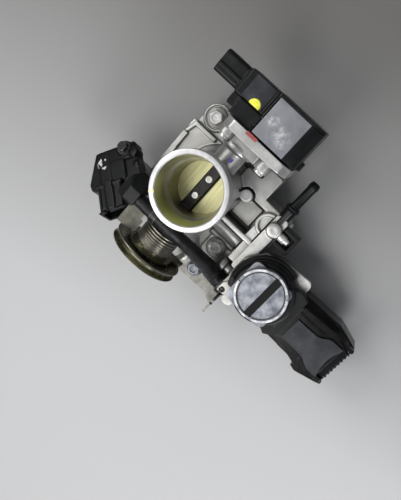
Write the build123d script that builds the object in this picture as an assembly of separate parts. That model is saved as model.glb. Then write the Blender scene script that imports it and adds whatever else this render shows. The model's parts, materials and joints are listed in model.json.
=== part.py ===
from build123d import *
import math
import os

# Cable-operated throttle body with a sensor on each side and a rotary idle air valve.
# Millimetres. Origin: centre of the bore on the engine-side mounting face.
# +Z runs up the bore to the air inlet, +X along the throttle shaft to the position sensor.

# ---- driving dimensions ----
BORE_R = 20.0              # 40 mm throttle bore
ENTRY_R = 24.7             # bore radius at the inlet lip
RING_R = 29.0              # outside of the inlet spigot
BARREL_R = 24.2
RING_TOP = 96.0            # inlet lip above the mounting face
SPIGOT_LOW = 84.0
TAPER_LOW = 66.0           # where the entry taper meets the straight bore
SHAFT_Z = 54.0
SHAFT_R = 5.4
BOSS_R = 10.5              # shaft bosses on both sides of the barrel
BEARING_R = 8.0
RUNNING_GAP = 0.05         # radial clearance of shafts in bearings
FLANGE_T = 10.0
PAD_TOP = 12.0             # bolt seats
BOLT_A = (39.0, 35.0)
BOLT_B = (-39.0, -35.0)
BOLT_R = 3.0               # M6
BOLT_REACH = 10.0          # thread below the mounting face
PLATE_R = BORE_R - 0.1
PLATE_T = 2.0

DRUM_R = 29.5
DRUM_X = (-72.5, -64.8)
GROOVE_R = 25.7
GROOVE_X = (-70.8, -66.5)
LEVER_X = DRUM_X[1] + 1.8   # far face of the stop lever
NIPPLE_SEAT = (0.0, SHAFT_Z + 21.2, 3.5)      # y, z, radius of the cable nipple seat
SPRING_R = 15.6
SPRING_X = (-60.0, -46.3)

TPS_X = (54.5, 89.0)
TPS_CAVITY_R = 8.8
TPS_PLUG_Y = 49.5
SENSOR_PIVOT = Vector(-63.0, 36.5, 55.5)      # centre of the pressure sensor's plug mouth
SENSOR_TURN = -29.0        # heading of the mouth's wide edge
SENSOR_TILT = 25.0         # plug points up by this much
SENSOR_BASE = -8.0         # underside of the sensor in its own frame
SENSOR_PORT = (-36.0, 14.0)
SENSOR_SCREW = (-50.0, 17.0)
SENSOR_SLEEVE = (-44.0, -5.5)

VALVE = (-31.5, -87.5)     # axis of the rotary idle valve, parallel to Z
VALVE_BORE_R = 12.0
VALVE_FLOOR = -10.0
VALVE_DECK = 33.0          # joint between the valve's casting and its plastic motor body
CAP_R = 21.3
CAP_TOP = 49.5

DECK_TOP = 28.0            # walls round the open pocket
JOINT_Y = -53.0            # face that carries the idle valve casting
GASKET_T = 1.0
NIPPLE_Y = -59.0
NIPPLE_Z = 26.0
NIPPLE_R = 3.8
HOSE_R = 5.3
STUB_R = 3.0
HOSE_ROUTE = [(-36.5, 26, 72.5), (-36.5, -8, 72.5), (-43.5, -29, 52), (-56, -49, 18), (-56, -66, 18)]
CUFF_R = 8.2
CUFF_LENGTH = 13.0

BRACKET_Z = (6.0, 8.5)
BRACKET_BOLT = (-66.0, -33.5)
CABLE_X = -69.0            # plane of the cable
CABLE_Z = SHAFT_Z - GROOVE_R
SLEEVE_R = 3.0             # cable sleeve
STOP_SCREW = (-63.9, -19.0)
STOP_TIP = 29.9
ANCHOR_Z = (60.0, 62.0)
ANCHOR_SCREW = (-36.0, 20.0)

TPS_SCREWS = [(12.0, 66.0), (-24.0, 66.0)]      # y, z
HOSE_STUB_A = (HOSE_ROUTE[0][0], HOSE_ROUTE[0][2])
HOSE_STUB_B = (HOSE_ROUTE[-1][0], HOSE_ROUTE[-1][2])
IDLE_SCREWS = [(-58.5, 3.0), (14.0, 4.0)]       # x, z
IDLE_SCREW_R = 1.95
VALVE_SCREWS = [(-11.0, -70.0), (-50.0, -104.5)]
EAR_HOLE = (-54.6, -62.6)
BYPASS_AXIS = (7.8, 29.0)  # x, z
AIR_PASSAGE = (-10.0, 8.0)                      # x, z
PORT = (12.3, -25.7)


# ---- helpers ----
def block(x0, x1, y0, y1, z0, z1):
    """Box between two corners."""
    return Pos((x0 + x1) / 2, (y0 + y1) / 2, (z0 + z1) / 2) * Box(x1 - x0, y1 - y0, z1 - z0)


def soft_block(x0, x1, y0, y1, z0, z1, radius, axis=Axis.Z):
    """Box between two corners, with the edges along one axis rounded."""
    solid = block(x0, x1, y0, y1, z0, z1)
    return fillet(solid.edges().filter_by(axis), radius)


def rod_z(x, y, z0, z1, r):
    return Pos(x, y, (z0 + z1) / 2) * Cylinder(r, z1 - z0)


def rod_x(y, z, x0, x1, r):
    return Pos((x0 + x1) / 2, y, z) * Rot(0, 90, 0) * Cylinder(r, x1 - x0)


def rod_y(x, z, y0, y1, r):
    return Pos(x, (y0 + y1) / 2, z) * Rot(90, 0, 0) * Cylinder(r, y1 - y0)


def ring_z(x, y, z0, z1, outer, inner):
    return rod_z(x, y, z0, z1, outer) - rod_z(x, y, z0 - 1, z1 + 1, inner)


def ring_x(y, z, x0, x1, outer, inner):
    return rod_x(y, z, x0, x1, outer) - rod_x(y, z, x0 - 1, x1 + 1, inner)


def slab(points, z0, z1, corner=0.0):
    """Closed outline raised from z0 to z1, its upright corners rounded."""
    face = make_face(Polyline(*points, close=True))
    solid = Pos(0, 0, z0) * extrude(face, z1 - z0)
    return fillet(solid.edges().filter_by(Axis.Z), corner) if corner else solid


def side_slab(points, x0, x1, corner=0.0):
    """Closed (y, z) outline run along X."""
    face = make_face(Polyline(*[(x0, y, z) for y, z in points], close=True))
    solid = extrude(face, x1 - x0, dir=(1, 0, 0))
    return fillet(solid.edges().filter_by(Axis.X), corner) if corner else solid


def turned(points):
    """Closed (radius, z) outline turned about Z."""
    face = make_face(Polyline(*[(r, 0, z) for r, z in points], close=True))
    return revolve(face, Axis.Z)


def hex_head(x, y, z0, across, height):
    """Hexagon on end, with its top corners turned off by a cone."""
    prism = Pos(x, y, z0) * extrude(RegularPolygon(across / 2, 6, major_radius=False), height)
    corner = across / math.sqrt(3)
    limit = Pos(x, y, z0) * turned([(0, 0), (corner + 0.1, 0), (corner + 0.1, height - 0.8),
                                    (across / 2 - 0.4, height), (0, height)])
    return prism & limit


def flange_bolt(x, y, seat, tip, shank_r=BOLT_R, across=10.0, flange_r=7.0):
    """Flange-head bolt standing on z = seat, head up, with a dished hexagon."""
    head = rod_z(x, y, seat, seat + 1.4, flange_r) + hex_head(x, y, seat + 1.4, across, 5.0)
    head -= rod_z(x, y, seat + 5.2, seat + 7, across / 2 - 1.4)
    shank = chamfer(rod_z(x, y, tip, seat, shank_r).edges().sort_by(Axis.Z)[0], 0.6)
    return head + shank


def pan_screw(length, shank_r, head_r, head_h):
    """Small screw along Z: head above z = 0, cross recess in the top."""
    head = fillet(rod_z(0, 0, 0, head_h, head_r).edges().sort_by(Axis.Z)[-1], head_h * 0.35)
    slot = block(-head_r * 0.55, head_r * 0.55, -0.4, 0.4, head_h * 0.45, head_h + 1)
    return head + rod_z(0, 0, -length, 0, shank_r) - slot - Rot(0, 0, 90) * slot


def sensor_place():
    """Frame of the tilted pressure sensor: local X out of its plug, local Z off its lid."""
    turn, tilt = math.radians(SENSOR_TURN), math.radians(SENSOR_TILT)
    across = Vector(math.cos(turn), math.sin(turn), 0)
    out = Vector(math.sin(turn) * math.cos(tilt), -math.cos(turn) * math.cos(tilt), math.sin(tilt))
    return Plane(origin=SENSOR_PIVOT, x_dir=out, z_dir=out.cross(across)).location


SENSOR = sensor_place()


# ---- main casting ----
def bore_wall():
    barrel = turned([(0, 0), (BARREL_R, 0), (BARREL_R, SPIGOT_LOW - 3), (RING_R, SPIGOT_LOW),
                     (RING_R, RING_TOP - 0.8), (RING_R - 0.8, RING_TOP), (0, RING_TOP)])
    return barrel


def bore_hole():
    return turned([(0, -1), (BORE_R, -1), (BORE_R, TAPER_LOW), (ENTRY_R, RING_TOP - 1),
                   (ENTRY_R + 0.8, RING_TOP + 0.01), (0, RING_TOP + 0.01)])


def mounting_flange():
    outline = [(-43, 49.5), (21, 49.5), (26, 45.6), (39, 45.4), (46, 28), (41, 20), (41, -38), (19, -38),
               (19, JOINT_Y), (-49, JOINT_Y), (-49, -24), (-43, -18)]
    flange = slab(outline, 0, FLANGE_T, 2.0)
    seat_a = rod_z(*BOLT_A, 0, PAD_TOP, 10.4)
    seat_b = soft_block(-49, -28.5, -53, -25, 0, PAD_TOP, 3)
    lug = soft_block(-73, -44, -46, -26, 0, BRACKET_Z[0], 4) + soft_block(-64, -44, JOINT_Y, -40, 0, BRACKET_Z[0], 3)
    step = soft_block(-43, 26.5, 8, 49.3, 5, FLANGE_T + 1.5, 2)
    skirt = turned([(0, 4), (31.5, 4), (31.5, FLANGE_T + 1), (27, 38), (BARREL_R, 48), (0, 48)])
    skirt &= block(-60, 60, 0, 60, 0, 60)
    return flange + step + skirt + seat_a + seat_b + lug


def lower_deck():
    """Raised block under the bore that carries the idle passages, with its open pocket."""
    deck = soft_block(-15, 20.9, JOINT_Y, -12, 2, DECK_TOP, 2)
    pad = slab([(12, -12), (30.3, -12), (30.3, -26), (40.5, -26), (40.5, -39.2), (12, -39.2)], 5, DECK_TOP, 1.5)
    duct = rod_y(-21, 13, -47, -18, 6.5) + block(-27.5, -14.5, -47, -18, 5, 13)
    shelf = block(-34, -14, JOINT_Y, -49, 2, 26)
    pocket = soft_block(-10.7, 14.4, -46, -15, 12, DECK_TOP + 1, 1.5)
    arch = ring_z(7.3, JOINT_Y - 1, 20, DECK_TOP + 1.5, 10, 7.5) - block(-5, 25, JOINT_Y - 15, JOINT_Y, 10, 40)
    return deck + pad + duct + shelf - pocket + arch


def port_boss():
    return rod_z(*PORT, 4, DECK_TOP, 5.4) - block(0, 7.8, -40, -15, 10, 40)


def shaft_bosses():
    right = rod_x(0, SHAFT_Z, 18, 47, BOSS_R) + block(20, 47, -4, 4, 4, SHAFT_Z)
    left = rod_x(0, SHAFT_Z, -45, -18, BOSS_R) + block(-42, -20, -5, 5, 4, SHAFT_Z)
    return right + left


def sensor_flange():
    """Upright plate that takes the throttle position sensor, with its screw bosses."""
    face = side_slab([(-41, 36), (18, 36), (18, 70), (12, 75), (-34, 75), (-41, 68)], 47, TPS_X[0], 2.5)
    lobes = rod_x(12, 66, 41, 48, 6) + rod_x(-24, 66, 39, 48, 6)
    braces = block(41, 47, -3, 16, 48, 66) + block(39, 47, -27, 3, 48, 66)
    return face + lobes + braces


def anchor_web():
    return soft_block(-43, -15, 14.5, 25, 4, ANCHOR_Z[0], 3)


def pressure_boss():
    """Leaning boss and arm under the pressure sensor, cut off flush with its underside."""
    stem = SENSOR * rod_z(*SENSOR_PORT, -60, SENSOR_BASE, 10)
    arm = soft_block(-42, -31, 40, 64, 3, 40, 4)
    above = SENSOR * block(-90, 40, -60, 60, SENSOR_BASE, 90)
    below = block(-120, 60, -60, 120, -60, 0)
    port = SENSOR * rod_z(*SENSOR_PORT, -26, SENSOR_BASE + 1, 5.3)
    screw_hole = SENSOR * rod_z(*SENSOR_SCREW, -22, SENSOR_BASE + 1, 2.45)
    return stem + arm - above - below - port - screw_hole


def whole_casting():
    body = bore_wall() + mounting_flange() + lower_deck() + port_boss() + shaft_bosses()
    body += sensor_flange()
    body += anchor_web()
    body += pressure_boss()
    body -= bore_hole()
    body -= rod_x(0, SHAFT_Z, -46, 55, SHAFT_R + 0.1)
    body -= rod_x(0, SHAFT_Z, -46, -32, BEARING_R) + rod_x(0, SHAFT_Z, 40, 55, BEARING_R)
    for x, y in (BOLT_A, BOLT_B):
        body -= rod_z(x, y, -1, 30, 3.3)
    body -= rod_z(*BRACKET_BOLT, 0.3, 10, 2.95)
    body -= ring_z(0, 0, -1, 2.1, 25.2, 22.8)                          # seal groove in the mounting face
    for y, z in TPS_SCREWS:
        body -= rod_x(y, z, 30, 60, 2.2)
    for x, z in IDLE_SCREWS:
        body -= rod_y(x, z, JOINT_Y - 1, JOINT_Y + 9, IDLE_SCREW_R)
    body -= rod_z(*ANCHOR_SCREW, ANCHOR_Z[0] - 12, ANCHOR_Z[0] + 1, 2.45)
    body -= rod_z(*PORT, DECK_TOP - 4, DECK_TOP + 1, 2.6)
    body -= rod_y(*AIR_PASSAGE, JOINT_Y - 1, -10, 4.5)                 # idle air passage into the bore
    return body


def throttle_barrel():
    """Tube round the bore with its inlet lip, kept apart from the flange and deck round it."""
    return whole_casting() & bore_wall()


def throttle_body():
    return whole_casting() - bore_wall()


# ---- throttle shaft and what turns with it ----
PLATE_SCREW_X = (-8.0, 8.0)
SHAFT_FLAT = 4.0


def plate_screw(x):
    top = SHAFT_Z + SHAFT_FLAT
    screw = Pos(x, 0, top - 0.1) * pan_screw(8.6, 1.6, 2.7, 1.7)
    return screw


def plate_screws():
    return Compound(children=[plate_screw(x) for x in PLATE_SCREW_X])


def plate_screw_room():
    top = SHAFT_Z + SHAFT_FLAT
    return [rod_z(x, 0, top - 8.7, top + 3, 1.6) + rod_z(x, 0, top - 0.1, top + 3, 2.7) for x in PLATE_SCREW_X]


def throttle_shaft():
    shaft = rod_x(0, SHAFT_Z, -81.5, 63, SHAFT_R) - block(-19, 19, -7, 7, SHAFT_Z + SHAFT_FLAT, SHAFT_Z + 8)
    shaft -= block(-PLATE_R - 0.3, PLATE_R + 0.3, -7, 7, SHAFT_Z - PLATE_T / 2, SHAFT_Z + PLATE_T / 2)
    for room in plate_screw_room():
        shaft -= room
    return shaft


def throttle_plate():
    plate = rod_z(0, 0, SHAFT_Z - PLATE_T / 2, SHAFT_Z + PLATE_T / 2, PLATE_R)
    for room in plate_screw_room():
        plate -= room
    return plate


def cable_drum():
    drum = rod_x(0, SHAFT_Z, *DRUM_X, DRUM_R)
    drum -= ring_x(0, SHAFT_Z, *GROOVE_X, DRUM_R + 1, GROOVE_R)
    seat_y, seat_z, seat_r = NIPPLE_SEAT
    drum -= rod_x(seat_y, seat_z, DRUM_X[0] - 1, DRUM_X[1] + 1, seat_r)
    drum -= rod_x(0, SHAFT_Z, DRUM_X[0] - 1, DRUM_X[1] + 1, SHAFT_R)
    for angle in (150, 210, 330):
        drum -= Pos(0, 0, SHAFT_Z) * Rot(angle, 0, 0) * rod_x(17.5, 0, DRUM_X[0] - 1, DRUM_X[1] + 1, 5)
    return drum


def stop_lever():
    """Steel plate beside the drum whose foot rests on the stop screw."""
    foot = side_slab([(-26, 30), (-12, 30), (-9, 48), (-14, 60), (-20, 44), (-26, 38)], DRUM_X[1], LEVER_X, 1.5)
    return rod_x(0, SHAFT_Z, DRUM_X[1], LEVER_X, 19.5) + foot - rod_x(0, SHAFT_Z, -70, -60, SHAFT_R)


def spring_collar():
    """Flanged nylon collar that the return spring winds on."""
    flange = rod_x(0, SHAFT_Z, LEVER_X, SPRING_X[0] - 0.4, 16.2)
    return flange + rod_x(0, SHAFT_Z, LEVER_X, -50, 11.8) - rod_x(0, SHAFT_Z, -80, -40, SHAFT_R)


def drum_nut():
    nut = Pos(DRUM_X[0] - 1.5, 0, SHAFT_Z) * Rot(0, -90, 0) * hex_head(0, 0, 0, 16, 6.5)
    return nut - rod_x(0, SHAFT_Z, -100, -70, SHAFT_R)


def drum_washer():
    return ring_x(0, SHAFT_Z, DRUM_X[0] - 1.5, DRUM_X[0], 10, SHAFT_R)


def tps_rotor():
    rotor = rod_x(0, SHAFT_Z, 55.5, 64.5, TPS_CAVITY_R - 0.4) - rod_x(0, SHAFT_Z, 50, 63, SHAFT_R)
    return rotor + block(64.5, 66, -1.2, 1.2, SHAFT_Z + 3, SHAFT_Z + 7.5)


# ---- small fixed parts of the shaft ----
def shaft_bearing(x0, x1):
    return ring_x(0, SHAFT_Z, x0, x1, BEARING_R, SHAFT_R + RUNNING_GAP)


def shaft_seals():
    return Compound(children=[ring_x(0, SHAFT_Z, -45, -42.5, BEARING_R, SHAFT_R + 0.1),
                              ring_x(0, SHAFT_Z, 52, 54.5, BEARING_R, SHAFT_R + 0.1)])


def return_spring():
    """Envelope of the torsion spring."""
    return ring_x(0, SHAFT_Z, *SPRING_X, SPRING_R, SPRING_R - 2.4)


def spring_anchor():
    """Stepped steel plate that the fixed end of the spring hooks on."""
    outline = [(-64.4, 19.5), (-61, 19.5), (-59.5, 16.4), (-51, 16.4), (-49.5, 18), (-45, 18), (-45, 15), (-30, 15),
               (-30, 25.4), (-64.4, 25.4)]
    return slab(outline, *ANCHOR_Z, 0.6) - rod_z(*ANCHOR_SCREW, 55, 65, 2.7)


def manifold_bolt(x, y):
    """Flange bolt with a waisted shank between its head and its thread."""
    thread = chamfer(rod_z(x, y, -BOLT_REACH, -0.3, BOLT_R).edges().sort_by(Axis.Z)[0], 0.6)
    return flange_bolt(x, y, PAD_TOP, -1, BOLT_R - 0.3) + thread


def manifold_bolts():
    return Compound(children=[manifold_bolt(x, y) for x, y in (BOLT_A, BOLT_B)])


def manifold_seal():
    return Pos(0, 0, 1.05) * Torus(24.0, 0.95)


# ---- throttle position sensor ----
def tps_housing():
    low = soft_block(*TPS_X, -41, 2, 38, 70, 3, Axis.X)
    high = soft_block(58.5, TPS_X[1] - 1, -4, 27, 40, 67, 2, Axis.X)
    foot = soft_block(TPS_X[0], 60, -10, 17, 40, 70, 3, Axis.X)
    plug = soft_block(68.5, 87, 26, TPS_PLUG_Y, 47.5, 66, 3, Axis.Y)
    body = low + high + foot + plug
    body -= rod_x(0, SHAFT_Z, 50, 69, TPS_CAVITY_R)
    body -= ring_x(0, SHAFT_Z, 50, 56, 12, 10.4)
    body -= soft_block(70.6, 84.9, 33, 53, 50, 63.5, 1.5, Axis.Y)
    for y, z in TPS_SCREWS:
        body -= rod_x(y, z, 50, 66, 1.9)
    return body


def tps_cover():
    """Ribbed lid over the sensor's electronics, with one sloping side."""
    return side_slab([(-1.5, 70), (-1.5, 75.5), (-3, 77), (-30, 77), (-32, 76), (-40, 71), (-40, 70)], 56.5, 88.5)


def tps_seal():
    return ring_x(0, SHAFT_Z, 54.5, 56, 12, 10.4)


def tps_track():
    return rod_x(0, SHAFT_Z, 67.5, 69, TPS_CAVITY_R)


def tps_screws():
    screws = []
    for y, z in TPS_SCREWS:
        head_x = 41 if y > 0 else 39
        screws.append(Pos(head_x, y, z) * Rot(0, -90, 0) * pan_screw(64 - head_x, 1.9, 4, 2.4))
    return Compound(children=screws)


def tps_terminals():
    return Compound(children=[block(x - 1.1, x + 1.1, 33, 42, 56.4, 57.2) for x in (73.8, 77.8, 81.8)])


# ---- manifold pressure sensor, in its own tilted frame ----
def map_housing():
    outline = [(-22, -12), (-24, -17.5), (-30, -18.5), (-55, -9.5), (-55, 26), (-22, 26)]
    body = slab(outline, SENSOR_BASE, 3.5, 2.5)
    body += soft_block(-24, 0, -10.9, 10.9, SENSOR_BASE, 8, 2.5, Axis.X)
    body += rod_z(*SENSOR_SCREW, SENSOR_BASE, 6, 6.5)
    body += rod_z(*SENSOR_PORT, -22, SENSOR_BASE, 5)
    body -= soft_block(-18, 1, -8.9, 8.9, SENSOR_BASE + 2, 6, 1.5, Axis.X)
    body -= rod_z(*SENSOR_SCREW, -30, 20, 2.6)
    body -= ring_z(*SENSOR_PORT, -17, -15, 6, 4)
    body -= rod_z(*SENSOR_PORT, -23, -10, 1.5)
    body -= rod_z(*SENSOR_SLEEVE, -10, 10, 4)
    return SENSOR * body + hose_block()


def hose_block():
    """Black plastic block on the sensor that the hose stub is moulded into."""
    solid = slab([(-43, 27), (-25, 27), (-19, 30), (-19, 38), (-28, 44), (-43, 44)], 58, 79, 2)
    return solid - rod_y(*HOSE_STUB_A, 26, 36, STUB_R)


def map_lid():
    lid = soft_block(-42, -24.3, 3, 16, 3.5, 7, 3)
    return SENSOR * chamfer(lid.edges().group_by(Axis.Z)[-1], 1)


def map_seal():
    return SENSOR * ring_z(*SENSOR_PORT, -17, -15, 5.3, 4)


def map_sleeve():
    return SENSOR * ring_z(*SENSOR_SLEEVE, SENSOR_BASE, 3.9, 4, 2.8)


def map_screw():
    x, y = SENSOR_SCREW
    head = rod_z(x, y, 6, 7, 5.2) + hex_head(x, y, 7, 8, 3.6)
    return SENSOR * (head + rod_z(x, y, -20, 6, 2.45))


def map_terminals():
    return SENSOR * Compound(children=[block(-18, -9, y - 1.1, y + 1.1, -0.4, 0.4) for y in (-4, 0, 4)])


# ---- idle air valve ----
def idle_casting():
    x, y = VALVE
    face = JOINT_Y - GASKET_T
    body = rod_z(x, y, VALVE_FLOOR, VALVE_DECK - 3, 22)
    body += soft_block(-46.5, 20, -66, face, -2, 18, 2)
    body += soft_block(-64, -40, -66, face, -3, 5.8, 1.5)
    body += soft_block(-36, 12, -63.5, face, 10, 30, 1.5)
    body += rod_z(8.3, -60.0, 10, 32, 6) - block(-10, 30, face, -40, 0, 40)
    body += soft_block(7, 20, -65, face, 12, 30, 2)
    body += soft_block(-64, -46, -76, -66.3, 8, 28, 3)
    ears = slab([(-58.5, -58.5), (-48, -58.5), (-22, -59), (-8, -68), (-2.5, -88), (-0.5, -108), (-3.5, -111),
                 (-50, -111), (-54, -104), (-54, -72)], VALVE_DECK - 3, VALVE_DECK, 2)
    body += ears
    body -= rod_z(x, y, VALVE_FLOOR + 4, VALVE_DECK + 1, VALVE_BORE_R + RUNNING_GAP)
    body -= rod_z(x, y, VALVE_FLOOR + 1.5, VALVE_DECK, 3 + RUNNING_GAP)
    body -= rod_y(*AIR_PASSAGE, -68, face + 1, 4.5)
    body -= Pos(x, y, AIR_PASSAGE[1]) * Rot(0, 0, -45) * rod_y(0, 0, 5, 29, 4.5)
    body -= rod_z(*EAR_HOLE, 29, 40, 2.4)
    body -= rod_x(NIPPLE_Y, NIPPLE_Z, 10, 21, NIPPLE_R)
    body -= rod_y(*HOSE_STUB_B, -77, -66, STUB_R)
    for sx, sz in IDLE_SCREWS:
        body -= rod_y(sx, sz, -80, face + 1, IDLE_SCREW_R + 0.15)
    for sx, sy in VALVE_SCREWS:
        body -= rod_z(sx, sy, 10, VALVE_DECK + 1, 2.1) + rod_z(sx, sy, 10, VALVE_DECK - 3, 3.6)
    body -= rod_y(*BYPASS_AXIS, -70, -56, 2.0)
    return body


def idle_casting_gasket():
    sheet = block(-63, 19, JOINT_Y - GASKET_T, JOINT_Y, 0, 5.8)
    sheet += block(-46, 19, JOINT_Y - GASKET_T, JOINT_Y, 0, 10) + block(-18, 18, JOINT_Y - GASKET_T, JOINT_Y, 0, 18)
    sheet -= rod_y(*AIR_PASSAGE, -60, -50, 4.5)
    for sx, sz in IDLE_SCREWS:
        sheet -= rod_y(sx, sz, -60, -50, IDLE_SCREW_R + 0.15)
    return sheet


def idle_casting_screws():
    return Compound(children=[Pos(x, -66, z) * Rot(90, 0, 0) * pan_screw(20.5, IDLE_SCREW_R, 3.4, 2.6)
                              for x, z in IDLE_SCREWS])


def idle_motor_body():
    """Black motor body: stepped round flange and the stem of its plug."""
    x, y = VALVE
    body = rod_z(x, y, VALVE_DECK, 38, 29) - block(-70, -47, -75, -50, 30, 50) - block(-70, -54, -120, -50, 30, 50)
    body -= block(-12, 20, -120, -98, 30, 50)
    body += rod_z(x, y, 38, 41.5, 25)
    body += soft_block(-50, -16, -118, -104, VALVE_DECK, 41, 2, Axis.Y)
    body -= rod_z(x, y, VALVE_DECK - 1, 42, 18)
    for sx, sy in VALVE_SCREWS:
        body -= rod_z(sx, sy, 30, 37, 1.95)
    return body


def idle_motor_plate():
    x, y = VALVE
    return soft_block(x - 21.5, x + 17.5, y - 18, y + 21, 41.5, 44.5, 5)


def idle_cap():
    x, y = VALVE
    cap = rod_z(x, y, 44.5, CAP_TOP + 1, CAP_R) - rod_z(x, y, CAP_TOP, CAP_TOP + 2, CAP_R - 1.8)
    band = block(x - 18.8, x + 18.8, y - 5.5, y + 1.1, CAP_TOP - 0.6, CAP_TOP + 1)
    return cap - (band & rod_z(x, y, 40, 60, CAP_R - 1.9))


def idle_cap_band():
    x, y = VALVE
    band = block(x - 18.8, x + 18.8, y - 5.5, y + 1.1, CAP_TOP - 0.6, CAP_TOP + 0.1)
    return band & rod_z(x, y, 40, 60, CAP_R - 1.9)


def idle_coil():
    return ring_z(*VALVE, VALVE_DECK + 1, 41.5, 18, 10.5)


def idle_bearing():
    x, y = VALVE
    collar = ring_z(x, y, 28, VALVE_DECK, VALVE_BORE_R + RUNNING_GAP, 3 + RUNNING_GAP)
    return collar


def idle_spool():
    """Rotary valve: hollow drum with a port on one side, on its spindle."""
    x, y = VALVE
    spool = ring_z(x, y, -5, 26, VALVE_BORE_R, 9.5) + ring_z(x, y, 23, 26, 10, 2.9)
    spool += rod_z(x, y, VALVE_FLOOR + 2, 41, 3)
    port = Pos(x, y, 8) * Rot(0, 0, 20) * block(0, 14, -5, 5, -6, 6)
    return spool - port


def idle_magnet():
    return ring_z(*VALVE, VALVE_DECK + 1.2, 40.5, 9.8, 3)


def idle_valve_screws():
    return Compound(children=[Pos(x, y, VALVE_DECK - 3) * Rot(180, 0, 0) * pan_screw(6.8, 1.95, 3.4, 2.4)
                              for x, y in VALVE_SCREWS])


def hood_outline(inset, front):
    return [(-52 + inset, -112), (-14 - inset, -112), (-11 - inset, -118), (-9 - inset, -148),
            (-15 - inset, front), (-56 + inset, front), (-62 + inset, -148), (-55 + inset, -120)]


def idle_connector():
    """Plug hood: flared shell open at its far end."""
    shell = slab(hood_outline(0, -168), 12, 32, 1.5)
    crest = slab(hood_outline(5, -166), 32, 40, 1.5)
    socket = soft_block(-47, -17, -170, -128, 15, 31, 2, Axis.Y)
    return shell + crest - socket - block(-50.2, -15.8, -118, -104, VALVE_DECK, 41)


def idle_connector_lid():
    """Raised panel on top of the hood, widening to the mouth."""
    return slab([(-46, -121), (-26, -121), (-25.5, -139), (-20, -149), (-20, -164), (-50, -164), (-50.5, -153),
                 (-45.5, -140)], 40, 42, 0.8)


def idle_terminals():
    return Compound(children=[block(x - 1.1, x + 1.1, -138, -128, z - 0.4, z + 0.4)
                              for x in (-40, -32, -24) for z in (20, 26)])


# ---- hose, nipple, adjusters, bracket ----
def coolant_nipple():
    pipe = rod_x(NIPPLE_Y, NIPPLE_Z, 11, 28.5, NIPPLE_R - 0.2) + rod_x(NIPPLE_Y, NIPPLE_Z, 20, 28.5, 4.7)
    pipe += rod_x(NIPPLE_Y, NIPPLE_Z, 28.5, 30.6, 5.9) + rod_x(NIPPLE_Y, NIPPLE_Z, 30.6, 56, NIPPLE_R)
    return pipe - rod_x(NIPPLE_Y, NIPPLE_Z, 10, 60, 2.4)


def hose_stub(axis, near, far):
    return rod_y(*axis, near, far, STUB_R) - rod_y(*axis, near - 1, far + 1, 1.9)


def hose_radii(route):
    """Bend radius at each inner corner of a route of straight runs."""
    radii = []
    for before, here, after in zip(route, route[1:], route[2:]):
        first, second = Vector(here) - Vector(before), Vector(after) - Vector(here)
        turn = math.radians(first.get_angle(second))
        radii.append(0.45 * min(first.length, second.length) / math.tan(turn / 2))
    return radii


def breather_hose():
    radii = hose_radii(HOSE_ROUTE)
    print("hose bend radii", [round(r, 1) for r in radii])
    path = FilletPolyline(*HOSE_ROUTE, radius=radii)
    start = Plane(origin=HOSE_ROUTE[0], z_dir=(0, -1, 0))
    hose = sweep(start * Circle(HOSE_R), path=path)
    x, y, z = HOSE_ROUTE[-1]
    hose += rod_y(x, z, y, y + CUFF_LENGTH, CUFF_R)
    print("hose length", round(path.length, 1))
    hose -= rod_y(*HOSE_STUB_A, 16, 27, STUB_R) + rod_y(*HOSE_STUB_B, -67, -55, STUB_R)
    return hose


def hose_clips():
    a = Pos(HOSE_ROUTE[0][0], 10, HOSE_ROUTE[0][2]) * Rot(90, 0, 0)
    b = Pos(HOSE_ROUTE[-1][0], -60, HOSE_ROUTE[-1][2]) * Rot(90, 0, 0)
    upper = a * ring_z(0, 0, -2.5, 2.5, HOSE_R + 0.9, HOSE_R)
    lower = b * ring_z(0, 0, -2.5, 2.5, CUFF_R + 0.9, CUFF_R)
    return Compound(children=[upper, lower])


def cable_bracket():
    """Flat steel bracket with the upright ear that holds the cable's sleeve."""
    plate = slab([(-77, -12.5), (-60.5, -12.5), (-60, -28), (-59.5, -60), (-64.6, -65), (-79.5, -65),
                  (-79.5, -60), (-76, -50)], *BRACKET_Z, 0.8)
    left, right = CABLE_X - 10.5, CABLE_X + 4.4
    ear = soft_block(left, right, -65, -62.5, BRACKET_Z[0], CABLE_Z + 7, 3, Axis.Y)
    ear += block(left, right, -65, -62.5, BRACKET_Z[0], 16)
    bracket = plate + ear
    bracket -= rod_y(CABLE_X, CABLE_Z, -70, -60, SLEEVE_R) + block(CABLE_X - 1.1, CABLE_X + 1.1, -70, -60, CABLE_Z, 50)
    bracket -= rod_z(*BRACKET_BOLT, 0, 12, 3.1) + rod_z(*STOP_SCREW, 0, 12, 2.45)
    return bracket


def bracket_bolt():
    return flange_bolt(*BRACKET_BOLT, BRACKET_Z[1], 0.5, 2.95)


def stop_screw():
    x, y = STOP_SCREW
    screw = chamfer(rod_z(x, y, -4, STOP_TIP, 2.45).edges().sort_by(Axis.Z)[-1], 0.7)
    return screw - block(x - 3, x + 3, y - 0.4, y + 0.4, -5, -2.8)


def stop_screw_nut():
    x, y = STOP_SCREW
    return hex_head(x, y, BRACKET_Z[1], 8, 4) - rod_z(x, y, 0, 20, 2.45)


def bypass_screw():
    x, z = BYPASS_AXIS
    head = rod_y(x, z, -75, -72, 2.4) + rod_y(x, z, -72, -66, 3.4)
    return head + rod_y(x, z, -66, -57, 2.0)


def bypass_guard():
    """Black open-topped box that shields the idle adjusting screw."""
    box = soft_block(-0.5, 16.5, -80, -66, 18, 30, 1.5)
    return box - block(3, 13, -77.5, -65, 22, 34)


def port_plug():
    return rod_z(*PORT, DECK_TOP - 4, DECK_TOP + 0.6, 2.6)


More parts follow.
